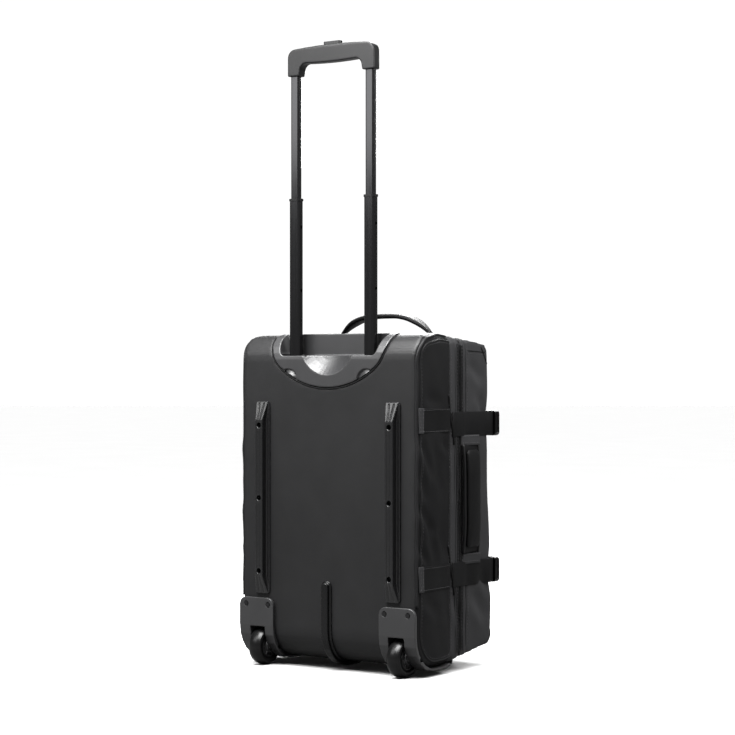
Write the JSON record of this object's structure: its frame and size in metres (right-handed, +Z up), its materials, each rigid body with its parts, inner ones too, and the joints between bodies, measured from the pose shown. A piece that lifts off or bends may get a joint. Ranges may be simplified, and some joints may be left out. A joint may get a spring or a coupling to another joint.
{
  "type": "rolling duffel bag",
  "caption": "Cabin-size rolling duffel bag: soft clamshell body with a telescopic trolley handle, wheels, skid rails, compression straps and carry handles.",
  "frame": {"origin": "centre of the bounding box footprint, on the floor under the wheels and front feet", "axes": "+Z up; +Y towards the back panel with the trolley, rails and wheels; the lid faces -Y; the side carry handle is on the -X side and the lid hinges on the +X side"},
  "size_m": [0.344, 0.238, 0.96],
  "materials": {
    "coated_fabric": "matt coated polyester",
    "nylon": "dark plain-woven nylon",
    "webbing": "ribbed webbing",
    "grey_plastic": "satin moulded plastic, dark grey",
    "rail_plastic": "satin moulded plastic",
    "black_plastic": "satin moulded plastic, black",
    "grip_plastic": "fine-textured moulded plastic, black",
    "buckle_plastic": "moulded acetal, black",
    "tube_black": "black anodised",
    "bare_metal": "plain mill finish",
    "screw_steel": "blackened",
    "zip_metal": "gunmetal",
    "tyre_rubber": "smooth polyurethane"
  },
  "bodies": {
    "rear": {"rear_shell": "coated_fabric", "frame_board": "black_plastic", "trolley_tray": "grey_plastic", "sleeve_bracket": "black_plastic", "sleeve_left": "bare_metal", "sleeve_right": "bare_metal", "bottom_runner": "black_plastic", "rail_screw_left_1": "screw_steel", "rail_screw_left_2": "screw_steel", "rail_screw_left_3": "screw_steel", "rail_screw_right_1": "screw_steel", "rail_screw_right_2": "screw_steel", "rail_screw_right_3": "screw_steel", "housing_screw_left_1": "screw_steel", "housing_screw_left_2": "screw_steel", "housing_screw_right_1": "screw_steel", "housing_screw_right_2": "screw_steel", "skid_rail_left": "rail_plastic", "wheel_housing_left": "grey_plastic", "axle_left": "bare_metal", "skid_rail_right": "rail_plastic", "wheel_housing_right": "grey_plastic", "axle_right": "bare_metal"},
    "middle_stage": {"middle_tube_left": "tube_black", "middle_collar_left": "black_plastic", "middle_tube_right": "tube_black", "middle_collar_right": "black_plastic"},
    "upper_stage": {"upper_tube_left": "tube_black", "upper_tube_right": "tube_black", "grip": "grip_plastic"},
    "button": {"grip_button": "black_plastic", "release_bar": "bare_metal", "push_rod_left": "bare_metal", "push_rod_right": "bare_metal"},
    "wheel_left": {"tyre_left": "tyre_rubber", "wheel_hub_left": "grey_plastic"},
    "wheel_right": {"tyre_right": "tyre_rubber", "wheel_hub_right": "grey_plastic"},
    "lid": {"front_shell": "nylon", "front_foot_left": "black_plastic", "front_foot_right": "black_plastic", "buckle_female_upper_left": "buckle_plastic", "buckle_female_lower_left": "buckle_plastic", "buckle_female_upper_right": "buckle_plastic", "buckle_female_lower_right": "buckle_plastic", "strap_upper_left": "webbing", "buckle_male_upper_left": "buckle_plastic", "strap_lower_left": "webbing", "buckle_male_lower_left": "buckle_plastic"},
    "strap_upper": {"strap_upper_right": "webbing", "buckle_male_upper_right": "buckle_plastic"},
    "strap_lower": {"strap_lower_right": "webbing", "buckle_male_lower_right": "buckle_plastic"},
    "top_handle": {"top_handle": "webbing"},
    "side_handle": {"side_handle": "webbing"},
    "slider_1": {"zip_slider_1": "zip_metal"},
    "slider_2": {"zip_slider_2": "zip_metal"}
  },
  "joints": [
    {"name": "lid_hinge", "type": "hinge", "parent": "rear", "child": "lid", "pos_m": [0.163, -0.015, 0.25], "axis": [0, 0, 1], "range_deg": [0, 160]},
    {"name": "strap_upper_swing", "type": "hinge", "parent": "rear", "child": "strap_upper", "pos_m": [-0.165, 0.008, 0.376], "axis": [0, 0, 1], "range_deg": [-160, 0]},
    {"name": "strap_lower_swing", "type": "hinge", "parent": "rear", "child": "strap_lower", "pos_m": [-0.165, 0.008, 0.148], "axis": [0, 0, 1], "range_deg": [-160, 0]},
    {"name": "middle_slide", "type": "slide", "parent": "rear", "child": "middle_stage", "axis": [0, 0, 1], "range_m": [-0.262, 0]},
    {"name": "upper_slide", "type": "slide", "parent": "middle_stage", "child": "upper_stage", "axis": [0, 0, 1], "range_m": [-0.187, 0]},
    {"name": "button_press", "type": "slide", "parent": "upper_stage", "child": "button", "axis": [0, 0, -1], "range_m": [0, 0.003], "stiffness_N_per_m": 600, "springref_m": -0.002},
    {"name": "wheel_left_spin", "type": "hinge", "parent": "rear", "child": "wheel_left", "pos_m": [0.1293, 0.09, 0.029], "axis": [1, 0, 0], "continuous": true},
    {"name": "wheel_right_spin", "type": "hinge", "parent": "rear", "child": "wheel_right", "pos_m": [-0.1293, 0.09, 0.029], "axis": [1, 0, 0], "continuous": true},
    {"name": "top_handle_swing", "type": "hinge", "parent": "lid", "child": "top_handle", "pos_m": [0, -0.057, 0.5065], "axis": [1, 0, 0], "range_deg": [-55, 55], "stiffness_Nm_per_rad": 0.05},
    {"name": "side_handle_pull", "type": "slide", "parent": "lid", "child": "side_handle", "axis": [-1, 0, 0], "range_m": [0, 0.015], "stiffness_N_per_m": 100},
    {"name": "slider_1_slide", "type": "slide", "parent": "rear", "child": "slider_1", "axis": [1, 0, 0], "range_m": [-0.11, 0]},
    {"name": "slider_2_slide", "type": "slide", "parent": "rear", "child": "slider_2", "axis": [1, 0, 0], "range_m": [0, 0.08]}
  ],
  "couplings": [
    {"joint": "strap_upper_swing", "follows": "lid_hinge", "ratio": -1},
    {"joint": "strap_lower_swing", "follows": "lid_hinge", "ratio": -1}
  ]
}
